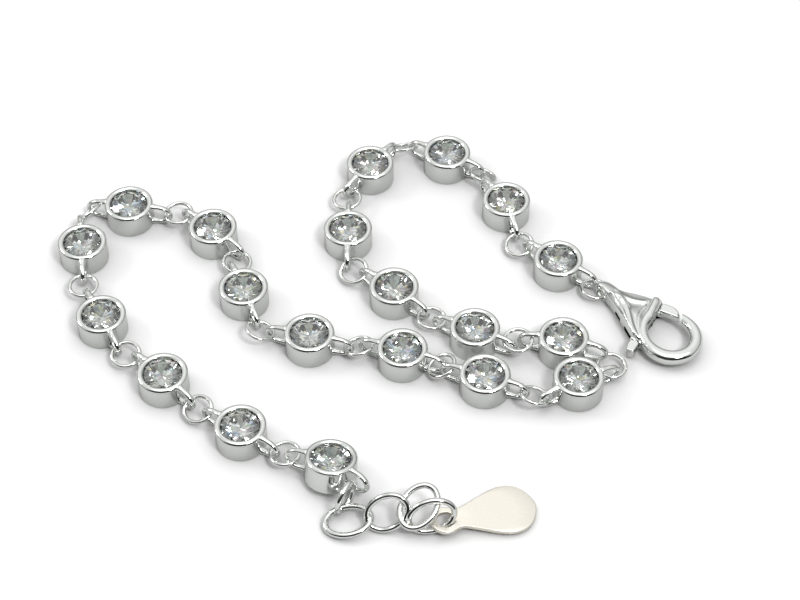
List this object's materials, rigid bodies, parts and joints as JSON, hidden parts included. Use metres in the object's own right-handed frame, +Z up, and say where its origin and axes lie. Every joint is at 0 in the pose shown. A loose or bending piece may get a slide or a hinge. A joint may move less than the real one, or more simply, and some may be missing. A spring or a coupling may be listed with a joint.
{
  "type": "link bracelet",
  "caption": "Station link bracelet of round bezel-set clear stones joined by jump rings, with a lobster clasp and a short extender chain ending in a leaf-shaped tag.",
  "frame": {"origin": "centre of the bounding box, at the surface that the bracelet lies on", "axes": "+Z up from the surface, +X along the coiled bracelet's longest extent, towards the clasp"},
  "size_m": [0.0544, 0.043, 0.003],
  "materials": {
    "silver": "bright polished",
    "satin_silver": "soft polished",
    "crystal": "faceted, clear"
  },
  "bodies": {
    "bracelet": {"bezel_link_01": "silver", "bezel_link_02": "silver", "bezel_link_03": "silver", "bezel_link_04": "silver", "bezel_link_05": "silver", "bezel_link_06": "silver", "bezel_link_07": "silver", "bezel_link_08": "silver", "bezel_link_09": "silver", "bezel_link_10": "silver", "bezel_link_11": "silver", "bezel_link_12": "silver", "bezel_link_13": "silver", "bezel_link_14": "silver", "bezel_link_15": "silver", "bezel_link_16": "silver", "bezel_link_17": "silver", "bezel_link_18": "silver", "bezel_link_19": "silver", "bezel_link_20": "silver", "clasp_body": "silver", "end_tag": "satin_silver", "extender_link_01": "silver", "extender_link_02": "silver", "extender_link_03": "silver", "extender_link_04": "silver", "extender_link_05": "silver", "stone_01": "crystal", "stone_02": "crystal", "stone_03": "crystal", "stone_04": "crystal", "stone_05": "crystal", "stone_06": "crystal", "stone_07": "crystal", "stone_08": "crystal", "stone_09": "crystal", "stone_10": "crystal", "stone_11": "crystal", "stone_12": "crystal", "stone_13": "crystal", "stone_14": "crystal", "stone_15": "crystal", "stone_16": "crystal", "stone_17": "crystal", "stone_18": "crystal", "stone_19": "crystal", "stone_20": "crystal"},
    "clasp_lever": {"clasp_lever": "silver"}
  },
  "joints": [
    {"name": "lever_hinge", "type": "hinge", "parent": "bracelet", "child": "clasp_lever", "pos_m": [0.02224, -0.00005, 0.00085], "axis": [0, 0, -1], "range_deg": [0, 20], "stiffness_Nm_per_rad": 0.00002}
  ]
}
